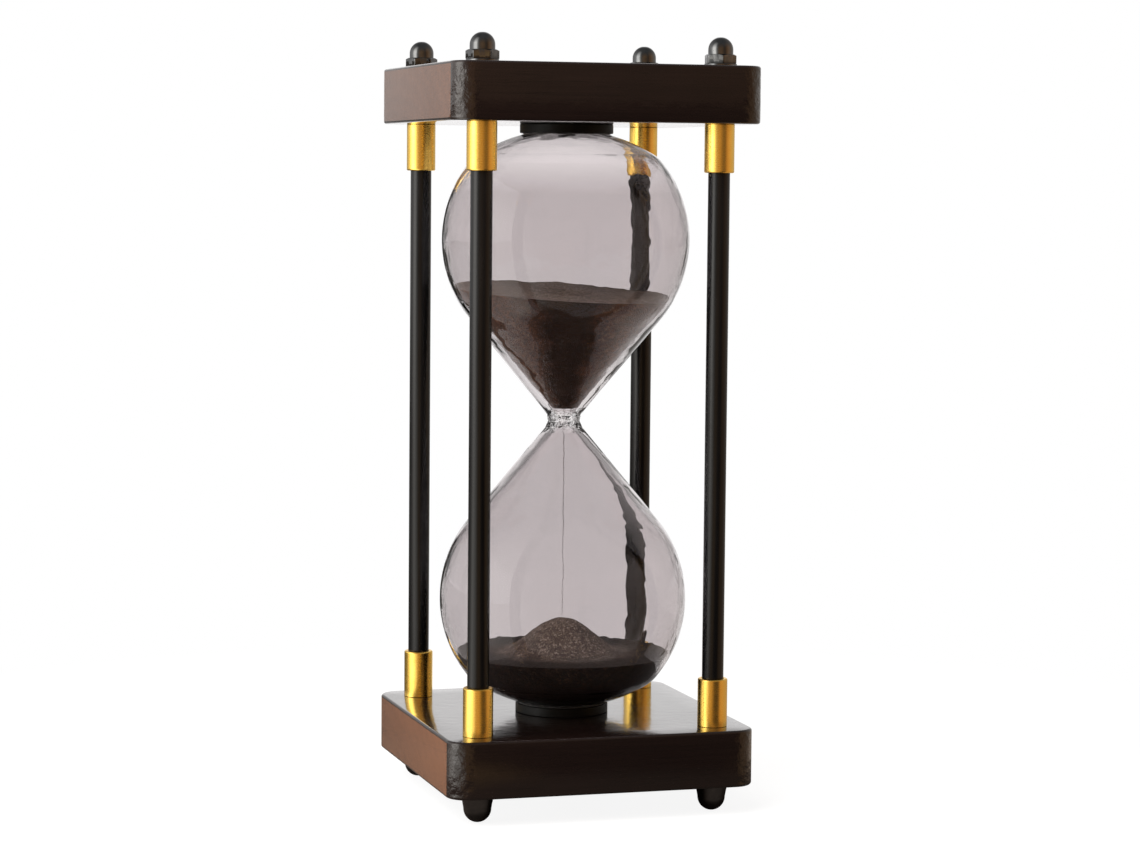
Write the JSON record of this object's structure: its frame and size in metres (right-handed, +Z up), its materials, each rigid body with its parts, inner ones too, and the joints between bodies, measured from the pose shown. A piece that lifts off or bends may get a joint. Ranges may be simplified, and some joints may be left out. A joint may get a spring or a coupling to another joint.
{
  "type": "hourglass sand timer",
  "caption": "Sand timer with a pinch-waisted smoked glass held between two square dark wood plates by black columns with brass ferrules and domed cap nuts.",
  "frame": {"origin": "centre of the footprint, on the surface that the four lower cap nuts stand on", "axes": "+Z up, from the lower plate to the upper plate, along the glass's axis; +X and +Y along the sides of the square plates"},
  "size_m": [0.105, 0.105, 0.2568],
  "materials": {
    "dark_wood": "espresso stain under semi-gloss lacquer",
    "black_paint": "black satin paint on steel tube",
    "bright_steel": "plain threaded steel",
    "polished_brass": "polished gold-coloured brass",
    "black_nickel": "glossy black nickel plate",
    "smoked_glass": "clear blown glass with a light smoke tint",
    "black_rubber": "matt moulded black",
    "grey_felt": "thin black felt",
    "dark_sand": "fine dyed dark brown grains"
  },
  "bodies": {
    "root": {"top_plate": "dark_wood", "bottom_plate": "dark_wood", "glass_bulb": "smoked_glass", "fill_plug": "black_rubber", "upper_seat": "black_rubber", "lower_seat": "black_rubber", "upper_pad": "grey_felt", "lower_pad": "grey_felt", "upper_sand": "dark_sand", "lower_sand": "dark_sand", "sand_stream": "dark_sand", "column_tube_front_left": "black_paint", "column_tube_front_right": "black_paint", "column_tube_back_left": "black_paint", "column_tube_back_right": "black_paint", "tie_rod_front_left": "bright_steel", "tie_rod_front_right": "bright_steel", "tie_rod_back_left": "bright_steel", "tie_rod_back_right": "bright_steel", "upper_ferrule_front_left": "polished_brass", "upper_ferrule_front_right": "polished_brass", "upper_ferrule_back_left": "polished_brass", "upper_ferrule_back_right": "polished_brass", "lower_ferrule_front_left": "polished_brass", "lower_ferrule_front_right": "polished_brass", "lower_ferrule_back_left": "polished_brass", "lower_ferrule_back_right": "polished_brass", "upper_washer_front_left": "black_nickel", "upper_washer_front_right": "black_nickel", "upper_washer_back_left": "black_nickel", "upper_washer_back_right": "black_nickel", "lower_washer_front_left": "black_nickel", "lower_washer_front_right": "black_nickel", "lower_washer_back_left": "black_nickel", "lower_washer_back_right": "black_nickel", "upper_cap_nut_front_left": "black_nickel", "upper_cap_nut_front_right": "black_nickel", "upper_cap_nut_back_left": "black_nickel", "upper_cap_nut_back_right": "black_nickel", "lower_cap_nut_front_left": "black_nickel", "lower_cap_nut_front_right": "black_nickel", "lower_cap_nut_back_left": "black_nickel", "lower_cap_nut_back_right": "black_nickel"}
  },
  "joints": []
}
